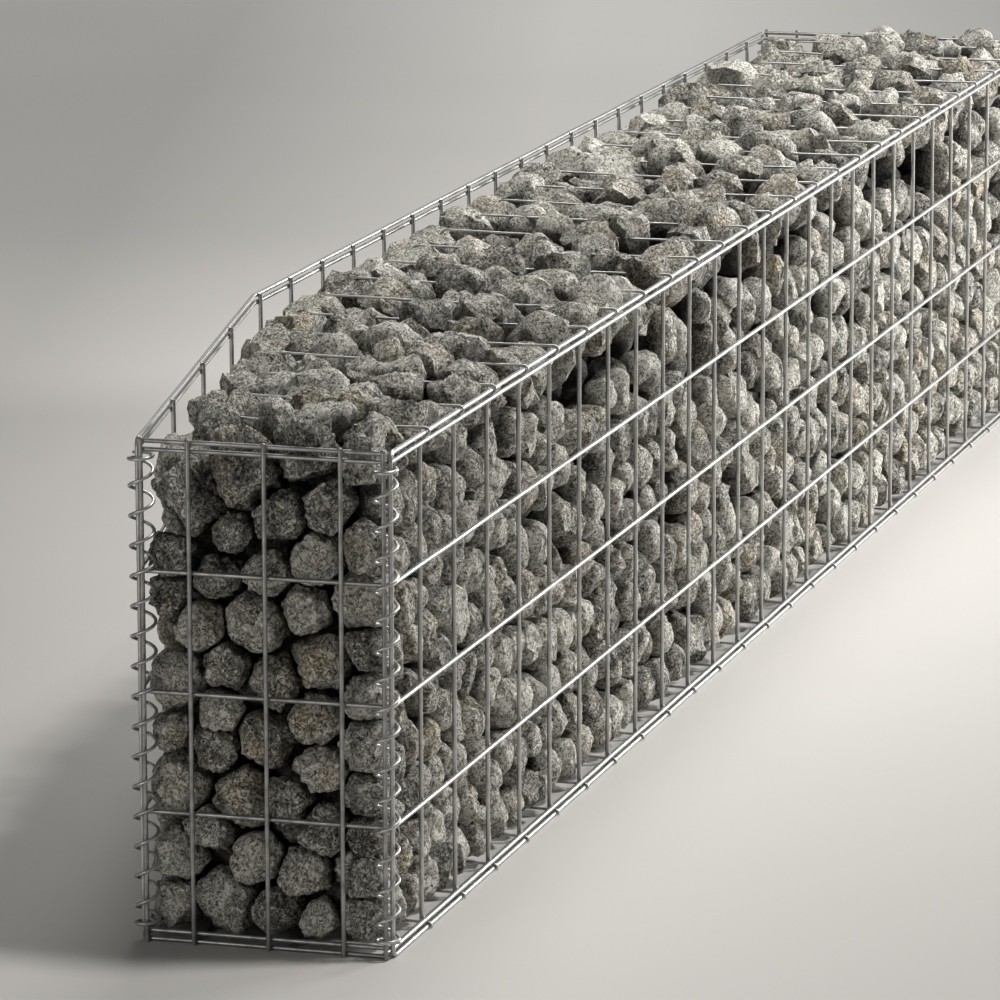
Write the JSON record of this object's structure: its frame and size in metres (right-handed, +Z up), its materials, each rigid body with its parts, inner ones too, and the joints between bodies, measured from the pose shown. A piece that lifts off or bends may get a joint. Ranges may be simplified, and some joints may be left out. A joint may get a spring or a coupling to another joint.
{
  "type": "gabion wall",
  "caption": "Long free-standing welded-wire gabion basket filled with broken stones, laced with spiral joiners at its corners and braced by hooked cross ties; one end is narrower.",
  "frame": {"origin": "centre of the wall's footprint at ground level", "axes": "+X along the wall towards its full-width far end, +Y towards the back, +Z up; the front panel faces -Y and the narrow near end faces -X"},
  "size_m": [2.5848, 0.3533, 0.4204],
  "materials": {
    "mesh_wire": "galvanised, satin",
    "joiner_wire": "galvanised, satin",
    "tie_wire": "galvanised, dull",
    "stone": "rough broken stone, mottled grey and brown"
  },
  "bodies": {
    "root": {"front_panel": "mesh_wire", "back_panel": "mesh_wire", "back_corner_panel": "mesh_wire", "near_end_panel": "mesh_wire", "far_end_panel": "mesh_wire", "base_panel": "mesh_wire", "spiral_near_front": "joiner_wire", "spiral_near_back": "joiner_wire", "spiral_far_front": "joiner_wire", "spiral_far_back": "joiner_wire", "cross_tie_01": "tie_wire", "cross_tie_02": "tie_wire", "cross_tie_03": "tie_wire", "cross_tie_04": "tie_wire", "cross_tie_05": "tie_wire", "cross_tie_06": "tie_wire", "cross_tie_07": "tie_wire", "cross_tie_08": "tie_wire", "cross_tie_09": "tie_wire", "cross_tie_10": "tie_wire", "cross_tie_11": "tie_wire", "cross_tie_12": "tie_wire", "cross_tie_13": "tie_wire", "cross_tie_14": "tie_wire", "cross_tie_15": "tie_wire", "cross_tie_16": "tie_wire", "cross_tie_17": "tie_wire", "cross_tie_18": "tie_wire", "cross_tie_19": "tie_wire", "cross_tie_20": "tie_wire", "cross_tie_21": "tie_wire", "cross_tie_22": "tie_wire", "cross_tie_23": "tie_wire", "cross_tie_24": "tie_wire", "cross_tie_25": "tie_wire", "cross_tie_26": "tie_wire", "stone_fill_near": "stone", "stone_fill_body": "stone"}
  },
  "joints": []
}
